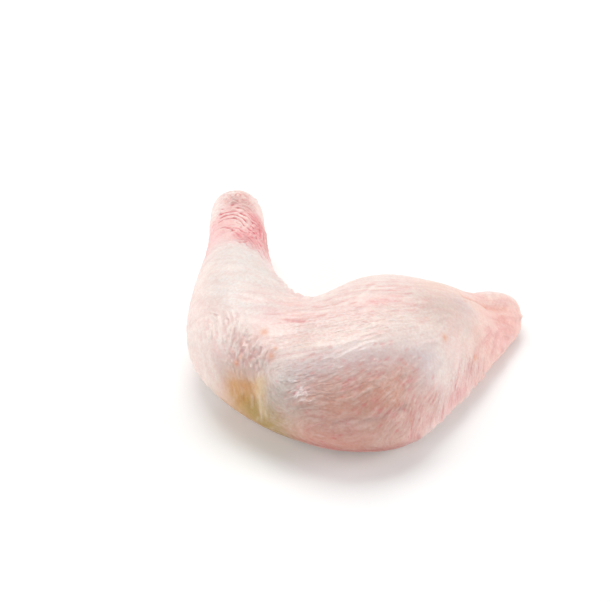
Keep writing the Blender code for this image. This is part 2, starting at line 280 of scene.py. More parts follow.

# Stains of colour in the skin, some of them painted shade and painted highlights, laid over each other in
# this order: a tint, how strong, how far, and where.
Stain = namedtuple("Stain", "name tint strength reach path")
STAINS = (
    Stain("pale hock", PALE_PINK, 0.9, 22, ((-55, 66, 30), (-55, 30, 34))),
    Stain("hock's edge", BLUSH, 0.8, 10, ((-64, 52, 24), (-62, 28, 30))),
    Stain("hock's pale side", BLUSH, 0.5, 8, ((-59, 50, 32), (-56, 24, 36))),
    Stain("hock's blush", BLUSH, 0.35, 11, ((-50, 50, 34), (-46, 40, 34), (-46, 28, 34))),
    Stain("raw hock", RAW_PINK, 0.9, 4.2, ((-44.5, 50, 32), (-43, 42, 31), (-45, 30, 34))),
    Stain("pink inner side of the hock", BLUSH, 0.5, 9, ((-40, 45, 25), (-38, 22, 28))),
    Stain("pink rim of the hock", RAW_PINK, 0.5, 4, ((-42, 44, 31), (-41, 30, 32), (-40, 20, 33))),
    Stain("greyish end of the hock", MAUVE, 0.55, 4.5, ((-54, 62, 34), (-50, 57, 35))),
    Stain("pale end of the hock", MILKY, 0.9, 5, ((-62, 56, 30), (-60, 63, 32), (-56, 68, 33))),
    Stain("pale folds of the hock", MILKY, 0.55, 3.2, ((-50.5, 46, 35), (-49.5, 41, 35))),
    Stain("pale shin", MILKY, 0.6, 8, ((-58, 20, 36), (-46, 19, 36), (-54, 8, 41), (-53, -6, 42))),
    Stain("pink round the pimple", RAW_PINK, 1.0, 4.5, ((-49, 29, 37), (-45, 24, 36))),
    Stain("red pimple", CREASE_PINK, 0.85, 3.2, ((-47, 26.0, 37),)),
    Stain("pink edge of the drumstick", BLUSH, 0.45, 5, ((-37, 10, 34), (-31, -4, 35), (-25, -12, 37))),
    Stain("pearly drumstick", PEARL, 0.75, 14, ((-50, 14, 38), (-46, 4, 38), (-38, -4, 37))),
    Stain("pearly bend", PEARL, 0.65, 9, ((-55, -10, 41), (-48, -24, 41), (-38, -26, 41))),
    Stain("milky side of the knee", MILKY, 0.6, 11, ((-67, 2, 28), (-67, -20, 28), (-61, -36, 30))),
    Stain("pink crotch", BLUSH, 0.3, 6, ((-38, -32, 41), (-30, -28, 42), (-22, -20, 42))),
    Stain("pink of the upper thigh", PALE_PINK, 0.15, 12, ((-10, -28, 44), (16, -18, 44))),
    # Partly the skin's own pale tone and partly painted highlight on the top of the thigh.
    Stain("pale upper thigh", MILKY, 0.45, 11, ((-16, -32, 43), (-5, -37, 45), (-4, -24, 44), (10, -14, 44))),
    Stain("blotch of the thigh", BLUSH, 0.45, 4, ((4, -26, 45), (12, -23, 45))),
    Stain("mauve knee", MAUVE, 0.45, 6, ((-45, -41, 38), (-41, -45, 38))),
    Stain("mauve under the knee", MAUVE, 0.6, 7, ((-54, -45, 28), (-48, -46, 32), (-42, -51, 32))),
    Stain("thin skin over fat", TAN, 1.0, 8, ((-49, -55, 20), (-43, -59, 20), (-39, -63, 13))),
    # Partly the fat's tan and partly painted shade, darker towards the lower outline.
    Stain("low edge over fat", TAN, 0.9, 8, ((-54, -48, 6), (-44, -58, 8), (-38, -65, 4))),
    Stain("yellow wrinkles", FAT_YELLOW, 1.0, 8, ((-41, -61, 17), (-36, -64, 17), (-31, -66, 12))),
    Stain("top of the thin skin", AMBER, 0.8, 3.4, ((-50.5, -51.5, 23.5), (-45, -55, 26), (-41, -58, 27))),
    Stain("pale tendon", PALE_FAT, 0.9, 2.8, ((-39, -57, 29), (-37.8, -61.5, 19))),
    # Partly the fat's yellow and partly painted shade at the lower outline.
    Stain("yellow edge", FAT_YELLOW, 0.85, 8, ((-37, -63, 12), (-29, -68, 14))),
    Stain("grey front", SHADOW_GREY, 0.9, 9, ((-30, -62, 30), (-20, -68, 26))),
    Stain("lavender thigh", LAVENDER, 0.9, 12, ((-20, -57, 37), (4, -56, 39), (22, -50, 34))),
    Stain("mauve thigh", MAUVE, 1.0, 12, ((-14, -67, 31), (6, -65, 33), (16, -60, 32))),
    Stain("brown thigh", ROSE_BROWN, 0.95, 10, ((-8, -70, 28), (10, -68, 28))),
    Stain("ruddy middle of the thigh", WARM_BROWN, 0.35, 8, ((2, -66, 34), (9, -64, 34), (14, -58, 34))),
    Stain("brown lower thigh", ROSE_BROWN, 1.0, 12, ((-20, -72, 16), (-4, -75, 14), (10, -72, 16))),
    # Painted shade: the fold of the lower thigh is darkened where shade falls in it.
    Stain("fold of the lower thigh", MAUVE, 0.6, 1.4, ((-11, -73.8, 24), (3, -73.1, 25), (15, -66.6, 25))),
    Stain("pale end of the lower thigh", BEIGE, 0.35, 6, ((8, -74, 15), (16, -68, 18))),
    Stain("red lower thigh", FLESH_PINK, 0.3, 6.5, ((-12, -74, 17), (-5, -76, 17))),
    # Partly the skin's red edge and partly painted contact shade where the leg meets the floor.
    Stain("lower edge", FLESH_RED, 0.75, 3, ((-28, -69, 9), (-16.5, -72.5, 10), (-5, -74, 8.5),
                                             (2.5, -74.5, 9.5), (12, -71, 9.5), (20, -65, 9))),
    Stain("beige hip", BEIGE, 1.0, 12, ((30, -22, 40), (42, -14, 31))),
    Stain("peach top of the hip", PEACH, 0.7, 7, ((30, -4, 36), (42, 2, 29))),
    Stain("peach by the tail fold", PEACH, 0.7, 4, ((42, -3, 29), (49, -3, 23))),
    # The top band of the thigh: partly its own cream and partly painted highlight where the light falls on
    # it.
    Stain("cream above the band", MILKY, 0.75, 7.5, ((-30, -42, 41), (-8, -38, 44))),
    Stain("cream band", CREAM, 0.95, 7, ((-24, -48, 40), (0, -44, 44), (20, -37, 43))),
    Stain("pale hip", MILKY, 0.3, 6, ((32, -48, 24), (36, -42, 24))),
    Stain("pink hip edge", BLUSH, 0.45, 9, ((24, -62, 14), (38, -45, 12), (50, -28, 9))),
    Stain("warm lower hip", ROSE_BROWN, 0.4, 6, ((20, -61, 18), (26, -56, 18))),
    Stain("raw hip edge", RAW_PINK, 0.25, 4, ((36, -50, 11), (42, -40, 10))),
    Stain("salmon flap", SALMON, 0.9, 14, ((55, -18, 12), (63, -2, 10))),
    Stain("pink flap", BLUSH, 0.4, 9, ((60, -8, 10), (67, 2, 9))),
    Stain("salmon tail fold", SALMON, 0.9, 12, ((54, 10, 16), (66, 10, 12))),
    Stain("pale tail fold", MILKY, 0.4, 6, ((56, 12, 17), (64, 13, 14))),
    Stain("peach of the hip", PEACH, 0.35, 5, ((47, -14, 24), (48, -24, 20))),
    Stain("crease of the tail fold", CREASE_ORANGE, 0.5, 1.1,
          ((43, -2.3, 29.4), (45.8, -0.3, 26.7), (49.2, 1.9, 23.2), (54, 3.4, 19))),
    Stain("soft end of that crease", CREASE_ORANGE, 0.3, 1.2,
          ((54, 3.4, 19), (59.2, 5.8, 16), (63, 8, 14.5))),
    # Painted highlight along the tail fold's top edge.
    Stain("bright edge of the tail fold", MILKY, 0.5, 2.5, ((48, 14, 20), (56, 17, 17), (64, 17, 13))),
    Stain("crease in the crotch", CREASE_PINK, 0.4, 1.0,
          ((-30, -33.5, 42), (-25.8, -34.5, 42), (-23, -35, 42.5))),
    Stain("bruise of the hip", LAVENDER, 0.35, 7, ((42, -10, 30),)),
)

# The front of the thigh, where creases are more orange than pink and the follicles show.
THIGH_FRONT = ((-20, -66, 30), (12, -64, 30))
THIGH_FRONT_REACH = 16

# Small orange specks, each with its radius.
Speck = namedtuple("Speck", "at radius")
SPECKS = (
    Speck((-38.2, -38.9, 40), 1.6), Speck((-35.7, -49.6, 37.3), 1.3), Speck((-48.7, -47.4, 31.4), 1.3),
    Speck((-46.5, -46.5, 33), 0.9), Speck((33, -33.9, 33.3), 1.4), Speck((46.6, -27.9, 17.4), 1.3),
    Speck((26, -31, 41), 1.0), Speck((19, -68, 20), 1.2), Speck((44, -6, 30), 0.9),
    Speck((-34, -47, 39), 0.9),
)

# Where the skin is wettest: a path and how far it reaches.
WET_PLACES = (
    (((-30, -60, 33), (-14, -66, 32)), 9.0), (((-50, -44, 33), (-45, -51, 30)), 7.0),
    (((-36, -63, 18), (-27, -67, 20)), 8.0), (((-56, -30, 37),), 6.0), (((-55.5, -48, 28),), 5.0),
    (((-5, -56, 39), (4, -54, 40)), 6.0),
)

# The hock's tightly packed skin, where the painted shade in hollows and the painted highlight on tops are
# strongest. Hollows are found by comparing each point's height with the smoothed height round it, and a
# hollow has its full painted shade and a top its full painted highlight where the two differ by
# HOLLOW_RANGE's upper value.
PACKED_SKIN = ((-52, 62, 35), (-48, 46, 35), (-45, 28, 36))
PACKED_SKIN_REACH = 10.0
HOLLOW_SMOOTHING = 12
HOLLOW_RANGE = (0.02, 0.22)

FOLLICLE_SPACING = 3.6
FOLLICLE_RADIUS = 0.75
FOLLICLE_HEIGHT = 0.13

WRINKLE_STEP = 0.6  # from one place on a wrinkle to the next


def linear(value):
    """One sRGB channel, 0 to 1, as linear light."""
    return value / 12.92 if value <= 0.04045 else ((value + 0.055) / 1.055) ** 2.4


def colour(hex_value):
    """An sRGB hex value as linear red, green and blue."""
    return tuple(linear(int(hex_value[at:at + 2], 16) / 255) for at in (0, 2, 4))


def select_only(piece):
    for other in bpy.context.view_layer.objects:
        other.select_set(False)
    piece.select_set(True)
    bpy.context.view_layer.objects.active = piece


def welded_copy(node, name):
    """A copy of a solid's mesh whose loose triangles are joined."""
    piece = bpy.data.objects.new(name, frame["nodes"][node].data.copy())
    bpy.context.scene.collection.objects.link(piece)
    select_only(piece)
    bpy.ops.object.mode_set(mode="EDIT")
    bpy.ops.mesh.select_all(action="SELECT")
    bpy.ops.mesh.remove_doubles(threshold=0.01 * MM)
    bpy.ops.object.mode_set(mode="OBJECT")
    return piece


def remesh(piece, facet):
    made = piece.modifiers.new("even facets", "REMESH")
    made.mode = "VOXEL"
    made.voxel_size = facet * MM
    select_only(piece)
    bpy.ops.object.modifier_apply(modifier=made.name)


def read_rows(items, what, width=3, kind=float):
    """A row of numbers for each of a mesh's points, edges, corners or faces."""
    flat = np.empty(len(items) * width, kind)
    items.foreach_get(what, flat)
    return flat.reshape(-1, width)


def read_counts(items, what):
    return read_rows(items, what, 1, np.int64)[:, 0]


def read_points(mesh):
    return read_rows(mesh.vertices, "co") / MM


def read_normals(mesh):
    return read_rows(mesh.vertices, "normal")


def read_faces(mesh):
    """The faces' middles and the ways that they face."""
    return read_rows(mesh.polygons, "center") / MM, read_rows(mesh.polygons, "normal")


def read_edges(mesh):
    return read_rows(mesh.edges, "vertices", 2, np.int64)


def split_faces(piece, chosen):
    """Splits the chosen faces in four."""
    select_only(piece)
    bpy.ops.object.mode_set(mode="EDIT")
    bpy.ops.mesh.select_mode(type="FACE")
    bpy.ops.mesh.select_all(action="DESELECT")
    bpy.ops.object.mode_set(mode="OBJECT")
    piece.data.polygons.foreach_set("select", chosen)
    bpy.ops.object.mode_set(mode="EDIT")
    bpy.ops.mesh.subdivide(number_cuts=1, smoothness=0)
    bpy.ops.object.mode_set(mode="OBJECT")


def smooth_mesh(mesh, passes):
    write_points(mesh, relaxed(read_points(mesh), read_edges(mesh), passes))


def write_points(mesh, points):
    mesh.vertices.foreach_set("co", (points * MM).ravel())
    mesh.update()


def relaxed(values, edges, passes):
    """Each point moved halfway to its neighbours' middle, a number of times."""
    size = len(values)
    near, far = edges.T
    neighbours = np.bincount(edges.ravel(), minlength=size)[:, None]
    for _ in range(passes):
        total = np.stack([
            np.bincount(near, column[far], size) + np.bincount(far, column[near], size) for column in values.T
        ], axis=1)
        values = values / 2 + total / neighbours / 2
    return values


def noise(points, lump, seed):
    """Smooth noise from 0 to 1, with lumps of the given size. Another seed gives another noise."""
    place = points / lump
    cell = np.floor(place).astype(np.int64)
    share = place - cell
    share = share * share * (3 - 2 * share)
    total = np.zeros(len(points))
    for corner in np.ndindex(2, 2, 2):
        at = cell + corner
        mixed = at[:, 0] * 73856093 ^ at[:, 1] * 19349663 ^ at[:, 2] * 83492791 ^ seed * 668265263
        mixed = (mixed ^ mixed >> 13) * 1274126177 & 0xFFFFFFFF
        mixed = (mixed ^ mixed >> 15) * 2246822519 & 0xFFFFFFFF
        total += (mixed ^ mixed >> 16) / 0xFFFFFFFF * np.prod(np.where(corner, share, 1 - share), axis=1)
    return total


def distance_to_path(points, path):
    """How far each point is from a path of one or more places."""
    path = np.array(path, float)
    if len(path) == 1:
        return np.linalg.norm(points - path[0], axis=1)
    best = np.full(len(points), np.inf)
    for start, end in zip(path, path[1:]):
        run = end - start
        share = np.clip((points - start) @ run / (run @ run), 0, 1)[:, None]
        best = np.minimum(best, np.linalg.norm(points - start - share * run, axis=1))
    return best


def bell(distance, reach):
    return np.exp(-(distance / reach) ** 2)


def path_points(path, count, rng):
    """Random places along a path, spread evenly over its length."""
    path = np.array(path, float)
    if len(path) == 1:
        return np.repeat(path, count, axis=0)
    lengths = np.linalg.norm(np.diff(path, axis=0), axis=1)
    along = np.concatenate(([0], np.cumsum(lengths)))
    where = (np.arange(count) + rng.random(count)) / count * along[-1]
    return np.stack([np.interp(where, along, path[:, axis]) for axis in range(3)], axis=1)


def row_products(rows, others):
    return np.einsum("ij,ij->i", rows, others)


def unit(rows):
    return rows / np.maximum(np.linalg.norm(rows, axis=1, keepdims=True), 1e-6)


def wrinkle_directions(points, normals):
    """The way that wrinkles run at each point, in the skin's surface, blended from WRINKLE_LAY."""
    twice = np.zeros((len(points), 2))
    for lay in WRINKLE_LAY:
        gap = (points[:, 0] - lay.x) ** 2 + (points[:, 1] - lay.y) ** 2
        weight = 1 / (gap + 4) ** 2
        turn = radians(lay.angle) * 2
        twice += weight[:, None] * np.array([np.cos(turn), np.sin(turn)])
    angle = np.arctan2(twice[:, 1], twice[:, 0]) / 2
    plan = np.stack([np.cos(angle), np.sin(angle), np.zeros(len(points))], axis=1)
    run = plan * normals[:, 2:3]
    run[:, 2] -= row_products(plan, normals)
    size = np.linalg.norm(run, axis=1, keepdims=True)
    level = np.cross((0, 0, 1), normals)
    return unit(np.where(size > 0.05, run, level))


def evened_out(directions, normals, edges):
    """Directions without sudden turns. A direction and its opposite count as the same."""
    pairs = np.einsum("ij,ik->ijk", directions, directions).reshape(-1, 9)
    strongest = np.linalg.eigh(relaxed(pairs, edges, LAY_SMOOTHING).reshape(-1, 3, 3))[1][:, :, 2]
    return unit(strongest - normals * row_products(strongest, normals)[:, None])


def drawn_noise(points, directions, lump, half_length, seed):
    """Noise drawn out along the wrinkles, spread evenly round 0."""
    steps = np.arange(-half_length, half_length + 0.01, lump / 2)
    total = sum(noise(points + directions * step, lump, seed) for step in steps)
    return (total - total.mean()) / total.std()


def combed(points, directions, lump, half_length, seed):
    """Drawn noise from 0 to 1."""
    return np.clip(drawn_noise(points, directions, lump, half_length, seed) / 4 + 0.5, 0, 1)


class Skin:
    """The skin's points with what is drawn on them: their height, how far each is in a pink crease or hollow,
    where a hollow's pink is partly painted shade, and how far each is on a crest paled by a painted
    highlight."""

    def __init__(self, mesh):
        self.points = read_points(mesh)
        self.normals = read_normals(mesh)
        lay = wrinkle_directions(self.points, self.normals)
        self.directions = evened_out(lay, self.normals, read_edges(mesh))
        self.height = np.zeros(len(self.points))
        self.blush = np.zeros(len(self.points))
        self.pale = np.zeros(len(self.points))
        self.tree = kdtree.KDTree(len(self.points))
        for index, point in enumerate(self.points):
            self.tree.insert(point, index)
        self.tree.balance()

    def near(self, place, reach):
        return np.array([found[1] for found in self.tree.find_range(place, reach)], np.int64)

    def trace(self, start, length, bend):
        """The places that a wrinkle through start passes, following the lay: for each, the index of the
        nearest point, the place and the way it heads."""
        half = max(1, int(length / WRINKLE_STEP / 2))
        arms = []
        for side in (-1, 1):
            index, place, heading = start, self.points[start], self.directions[start] * side
            arm = []
            for _ in range(half):
                across = np.cross(self.normals[index], heading)
                heading = heading + across * bend
                place = place + heading / np.linalg.norm(heading) * WRINKLE_STEP
                index = self.tree.find(place)[1]
                place = place - self.normals[index] * ((place - self.points[index]) @ self.normals[index])
                turn = self.directions[index]
                heading = turn if turn @ heading > 0 else -turn
                arm.append((index, place, heading))
            arms.append(arm)
        here = (start, self.points[start], self.directions[start])
        return arms[0][::-1] + [here] + arms[1]

    def press_wrinkle(self, track, width, height, pink):
        """Raises or sinks one wrinkle along a track, with the skin beside it going the other way."""
        for number, (index, place, heading) in enumerate(track):
            found = self.near(place, width * 3)
            if not len(found):
                continue
            offset = self.points[found] - place
            along = np.abs(offset @ heading)
            across = np.abs(offset @ np.cross(self.normals[index], heading))
            taper = np.sin(np.pi * (number + 0.5) / len(track)) ** 0.6
            close = along <= WRINKLE_STEP
            found, across = found[close], across[close]
            change = height * taper * (bell(across, width) - 0.5 * bell(across - width * 1.9, width * 0.8))
            old = self.height[found]
            self.height[found] = np.where(np.abs(change) > np.abs(old), change, old)
            self.blush[found] = np.maximum(self.blush[found], pink * taper * bell(across, width * 1.1))
            # A raised wrinkle's crest is paled with a painted highlight.
            if height > 0:
                white = min(height * 3, 1) * taper * bell(across, width)
                self.pale[found] = np.maximum(self.pale[found], white)


def add_wrinkles(skin, rng):
    """Lays the single wrinkles over the other relief. Where two cross, the higher or deeper one wins."""
    relief = skin.height.copy()
    skin.height[:] = 0
    for kind in WRINKLES:
        gap = distance_to_path(skin.points, kind.path)
        chance = np.where(gap < kind.reach * 1.6, bell(gap, kind.reach), 0)
        starts = rng.choice(len(skin.points), kind.count, p=chance / chance.sum())
        for start in starts:
            length = rng.uniform(*kind.length)
            strength = rng.uniform(0.45, 1.0)
            track = skin.trace(start, length, rng.normal(0, 0.035))
            width = kind.width * rng.uniform(0.85, 1.35)
            skin.press_wrinkle(track, width, kind.height * strength, kind.blush * strength)
    skin.height += relief


def add_creases(skin):
    """Presses in the hock's creases, a little bent and of uneven depth, with raised shoulders paled by a
    painted highlight.
    """
    wander = np.stack([noise(skin.points, CREASE_WANDERING, 61 + axis) for axis in range(3)], axis=1) - 0.5
    uneven = 0.6 + 0.8 * noise(skin.points, CREASE_WANDERING * 1.3, 64)
    for crease in CREASES:
        gap = distance_to_path(skin.points + CREASE_SWAY * wander, crease.path)
        shoulders = bell(gap - 2.1 * crease.width, 0.8 * crease.width)
        skin.height += uneven * crease.depth * (0.5 * shoulders - bell(gap, crease.width))
        skin.pale = np.maximum(skin.pale, 0.7 * crease.blush * shoulders)
        skin.blush = np.maximum(skin.blush, crease.blush * bell(gap, crease.width * 1.1))


def add_puckers(skin):
    """Gathers the skin in folds. Gives how much finer wrinkling each point has, from 0 to 1."""
    depth, pink, share, wrinkling = np.zeros((4, len(skin.points)))
    for number, kind in enumerate(PUCKERS):
        weight = bell(distance_to_path(skin.points, kind.path), kind.reach)
        close = np.flatnonzero(weight > 0.02)
        points, weight = skin.points[close], weight[close]
        folds = drawn_noise(points, skin.directions[close], kind.spacing, kind.length, 200 + number)
        ridge = smooth_step(np.abs(folds), 0, 1.1) if kind.broad else smooth_step(folds, -1.4, 1.4)
        uneven = 0.6 + 0.8 * noise(points, kind.spacing * 4, 300 + number)
        raised = ridge - 0.6 if kind.broad else ridge - 0.5
        depth[close] += weight * kind.depth * uneven * raised
        pink[close] += weight * kind.blush * (1 - ridge) ** 1.5
        wrinkling[close] += weight * kind.fine
        share[close] += weight
    share = np.maximum(share, 1)
    skin.height += depth / share
    skin.blush = np.maximum(skin.blush, pink / share)
    return wrinkling / share


def paint_hollow_shade_and_top_highlights(skin, edges):
    """Darkens the hollows between folds and lumps with pink, partly the meat's pink showing through and
    partly painted shade, most on the hock, and whitens their tops with a painted highlight."""
    relief = skin.height - relaxed(skin.height[:, None], edges, HOLLOW_SMOOTHING)[:, 0]
    packed = bell(distance_to_path(skin.points, PACKED_SKIN), PACKED_SKIN_REACH)
    skin.blush = np.maximum(skin.blush, (0.08 + 0.6 * packed) * smooth_step(-relief, *HOLLOW_RANGE))
    skin.pale = np.maximum(skin.pale, (0.4 + 0.5 * packed) * smooth_step(relief, *HOLLOW_RANGE))


def add_forms(skin):
    for form in FORMS:
        skin.height += form.height * bell(distance_to_path(skin.points, form.path), form.reach)


def add_lumps(skin, rng):
    for kind in LUMPS:
        places = path_points(kind.path, kind.count, rng) + rng.normal(0, kind.spread / 2, (kind.count, 3))
        for place in places:
            index = skin.tree.find(place)[1]
            middle = skin.points[index]
            reach = kind.reach * rng.uniform(0.75, 1.25)
            found = skin.near(middle, reach * 2.2)
            gap = np.linalg.norm(skin.points[found] - middle, axis=1)
            skin.height[found] += kind.height * rng.uniform(0.5, 1.0) * bell(gap, reach)


def add_follicles(skin, rng):
    """Small bumps, one for each plucked feather, evenly spread. Gives how far each point is in one."""
    follicles = np.zeros(len(skin.points))
    free = np.ones(len(skin.points), bool)
    for index in rng.permutation(len(skin.points)):
        if not free[index]:
            continue
        free[skin.near(skin.points[index], FOLLICLE_SPACING * rng.uniform(0.7, 1.2))] = False
        found = skin.near(skin.points[index], FOLLICLE_RADIUS * 2.2)
        gap = np.linalg.norm(skin.points[found] - skin.points[index], axis=1)
        strength = rng.uniform(0.3, 1.0)
        skin.height[found] += FOLLICLE_HEIGHT * strength * bell(gap, FOLLICLE_RADIUS)
        follicles[found] = np.maximum(follicles[found], strength * bell(gap, FOLLICLE_RADIUS * 0.7))
    return follicles


def smooth_step(values, low, high):
    share = np.clip((values - low) / (high - low), 0, 1)
    return share * share * (3 - 2 * share)


def hock_cut(points):
    """How far each point is part of the cut flesh round the bone, from 0 to 1."""
    gap = np.hypot(points[:, 0] - BONE_MIDDLE[0], points[:, 2] - BONE_MIDDLE[1])
    inside = 1 - smooth_step(gap, FLESH_RADIUS - 0.6, FLESH_RADIUS + 0.3)
    return inside * smooth_step(points[:, 1], SOCKET_BOTTOM - 2, SOCKET_BOTTOM)


def tendon_ends(points):
    """How far each point is on the end of a cut tendon, from 0 to 1."""
    gap = np.min([np.hypot(points[:, 0] - across, points[:, 2] - up) for across, up in TENDONS], axis=0)
    return bell(gap, TENDON_RADIUS)


def blend(under, over, weight):
    """Colours moved towards one colour, or another set of colours, by a weight for each point."""
    return under + (np.asarray(over) - under) * weight[:, None]


def tint_skin(skin, follicles, cut, grain):
    """The skin's colour at each point, with painted shade and painted highlights among its stains and marks,
    and the flesh's where it is cut.
    """
    points = skin.points
    tint = np.array(colour(CREAM)) * np.ones((len(points), 3))
    tint = blend(tint, colour(PALE_PINK), 0.6 * smooth_step(noise(points, 9.0, 31), 0.35, 0.75))
    for number, stain in enumerate(STAINS):
        gap = distance_to_path(points, stain.path)
        ragged = 0.5 * noise(points, 3.2, 50 + number) + 0.5 * noise(points, 7.0, 90 + number)
        weight = stain.strength * bell(gap * (0.7 + 0.6 * ragged), stain.reach)
        tint = blend(tint, colour(stain.tint), weight)
    front = bell(distance_to_path(points, THIGH_FRONT), THIGH_FRONT_REACH)
    orange = front * smooth_step(noise(points, 5.0, 41), 0.35, 0.65)
    raw = blend(np.array(colour(CREASE_PINK)) * np.ones((len(points), 3)), colour(CREASE_ORANGE), orange)
    # Pink of creases, folds and hollows; in the hollows it is partly painted shade.
    tint = blend(tint, raw, np.clip(skin.blush, 0, 1))
    tint = blend(tint, raw, follicles * (0.04 + 0.5 * front))
    # Painted highlight on the tops of wrinkles, the creases' shoulders and lumps.
    tint = blend(tint, colour(MILKY), 0.45 * skin.pale)
    tint *= (0.96 + 0.08 * grain)[:, None]
    for speck in SPECKS:
        gap = distance_to_path(points, (speck.at,))
        tint = blend(tint, colour(SPECK_ORANGE), 0.6 * bell(gap, speck.radius))
    flesh = np.array(colour(FLESH_RED)) * np.ones((len(points), 3))
    flesh = blend(flesh, colour(FLESH_PINK), noise(points, 1.6, 77))
    flesh = blend(flesh, colour(CARTILAGE_WHITE), tendon_ends(points))
    return blend(tint, flesh, cut)


def store(mesh, name, kind, field, values):
    mesh.attributes.new(name, kind, "POINT").data.foreach_set(field, values.ravel())


def store_lay(mesh, directions):
    """Stores the way that wrinkles run at each face's corners, pointing to the same side all round it."""
    starts = read_counts(mesh.polygons, "loop_start")
    sizes = read_counts(mesh.polygons, "loop_total")
    lay = directions[read_counts(mesh.loops, "vertex_index")]
    first = np.repeat(lay[starts], sizes, axis=0)
    lay *= np.where(row_products(lay, first) < 0, -1, 1)[:, None]
    mesh.attributes.new("lay", "FLOAT_VECTOR", "CORNER").data.foreach_set("vector", lay.ravel())


def add_node(tree, kind, settings=None, output=0, **inputs):
    """Adds a node and gives one of its outputs. An input is a value, or another node's output to link."""
    node = tree.nodes.new(kind)
    for key, value in (settings or {}).items():
        setattr(node, key, value)
    for key, value in inputs.items():
        socket = node.inputs[int(key[1:]) if key[1:].isdigit() else key.replace("_", " ")]
        if isinstance(value, bpy.types.NodeSocket):
            tree.links.new(value, socket)
        else:
            socket.default_value = value
    return node.outputs[output]


def set_sockets(node, **values):
    for name, value in values.items():
        node.inputs[name.replace("_", " ")].default_value = value


def new_finish(name):
    """A new finish with its shader, and the functions that add a node to it and link two sockets."""
    made = bpy.data.materials.new(name)
    made.use_nodes = True
    tree = made.node_tree
    return made, tree.nodes["Principled BSDF"], partial(add_node, tree), tree.links.new


def streaks(add, place, lay, lump, reach):
    """Fine folds drawn out along the wrinkles' lay: 1 on a fold, 0 in the hollows between."""
    steps = 7
    spread = 0.11 * steps
    total = 0.0
    for number in range(steps):
        step = reach * (number / (steps - 1) - 0.5) * MM
        moved = add("ShaderNodeVectorMath", {"operation": "MULTIPLY_ADD"},
                    _0=lay, _1=(step, step, step), _2=place)
        sample = add("ShaderNodeTexNoise", Vector=moved, Scale=1 / (lump * MM), Detail=0.0)
        total = add("ShaderNodeMath", {"operation": "ADD"}, _0=total, _1=sample)
    level = add("ShaderNodeMath", {"operation": "SUBTRACT"}, _0=total, _1=steps / 2)
    return add("ShaderNodeMapRange", {"interpolation_type": "SMOOTHSTEP"},
               _0=level, _1=-spread, _2=spread, _3=0.0, _4=1.0)


def raw_skin():
    """Raw chicken skin, plucked and chilled: a thin moist film over translucent skin, so it is satin with
    small glints, fine wrinkles catch the light and the meat's pink shows through in between."""
    made, shader, add, link = new_finish("raw chicken skin, plucked and chilled")
    place = add("ShaderNodeTexCoord", output="Object")
    tint = add("ShaderNodeAttribute", {"attribute_name": "skin_tint"}, "Color")
    lay = add("ShaderNodeAttribute", {"attribute_name": "lay"}, "Vector")
    wrinkling = add("ShaderNodeAttribute", {"attribute_name": "wrinkling"}, "Fac")
    wetness = add("ShaderNodeAttribute", {"attribute_name": "wetness"}, "Fac")

    # Real skin is creped still finer. This is as fine as the render shows.
    folds = streaks(add, place, lay, 1.0, 3.0)
    creping = streaks(add, place, lay, 0.7, 1.8)
    fine = add("ShaderNodeMath", {"operation": "MULTIPLY_ADD"}, _0=creping, _1=0.5, _2=folds)

    # The hollows between the fine folds are flushed pink and darkened with painted shade, the tops of the
    # fine folds get a milky painted highlight, and a mottle and a grain lie over both.
    gap_flush_and_shade = add("ShaderNodeMapRange", _0=fine, _1=0.8, _2=0.2, _3=0.0, _4=0.4)
    crest_highlight = add("ShaderNodeMapRange", _0=fine, _1=0.8, _2=1.4, _3=0.0, _4=0.26)
    mottle = add("ShaderNodeTexNoise", Vector=place, Scale=1 / (2.4 * MM), Detail=3.0)
    grain = add("ShaderNodeTexNoise", Vector=place, Scale=1 / (1.0 * MM), Detail=2.0)
    for share, over, how in (
        (add("ShaderNodeMath", {"operation": "MULTIPLY"}, _0=gap_flush_and_shade, _1=wrinkling), FOLD_PINK_AND_SHADE, "MULTIPLY"),
        (add("ShaderNodeMath", {"operation": "MULTIPLY"}, _0=crest_highlight, _1=wrinkling), MILKY, "MIX"),
        (add("ShaderNodeMapRange", _0=mottle, _1=0.35, _2=0.7, _3=0.0, _4=0.2), MOTTLE_PINK, "MULTIPLY"),
        (add("ShaderNodeMapRange", _0=grain, _1=0.42, _2=0.62, _3=0.0, _4=0.24), GRAIN_PINK, "MULTIPLY"),
    ):
        tint = add("ShaderNodeMix", {"data_type": "RGBA", "blend_type": how}, 2,
                   _0=share, _6=tint, _7=(*colour(over), 1.0))
    link(tint, shader.inputs["Base Color"])

    film = add("ShaderNodeMapRange", _0=wetness, _1=0.0, _2=1.0, _3=0.12, _4=0.75)
    link(film, shader.inputs["Coat Weight"])
    moist = add("ShaderNodeTexNoise", Vector=place, Scale=1 / (4.0 * MM), Detail=2.0)
    gloss = add("ShaderNodeMapRange", _0=moist, _1=0.35, _2=0.65, _3=0.38, _4=0.52)
    link(gloss, shader.inputs["Roughness"])

    raised = add("ShaderNodeMath", {"operation": "MULTIPLY"}, _0=fine, _1=wrinkling)
    pores = add("ShaderNodeTexNoise", Vector=place, Scale=1 / (0.7 * MM), Detail=2.0)
    relief = add("ShaderNodeMath", {"operation": "MULTIPLY_ADD"}, _0=pores, _1=0.25, _2=raised)
    bump = add("ShaderNodeBump", Height=relief, Strength=1.0, Distance=0.28 * MM)
    link(bump, shader.inputs["Normal"])

    set_sockets(shader, IOR=1.4, Coat_Roughness=0.11, Subsurface_Weight=0.12,
                Subsurface_Radius=(1.0, 0.45, 0.3), Subsurface_Scale=0.5 * MM)
    return made


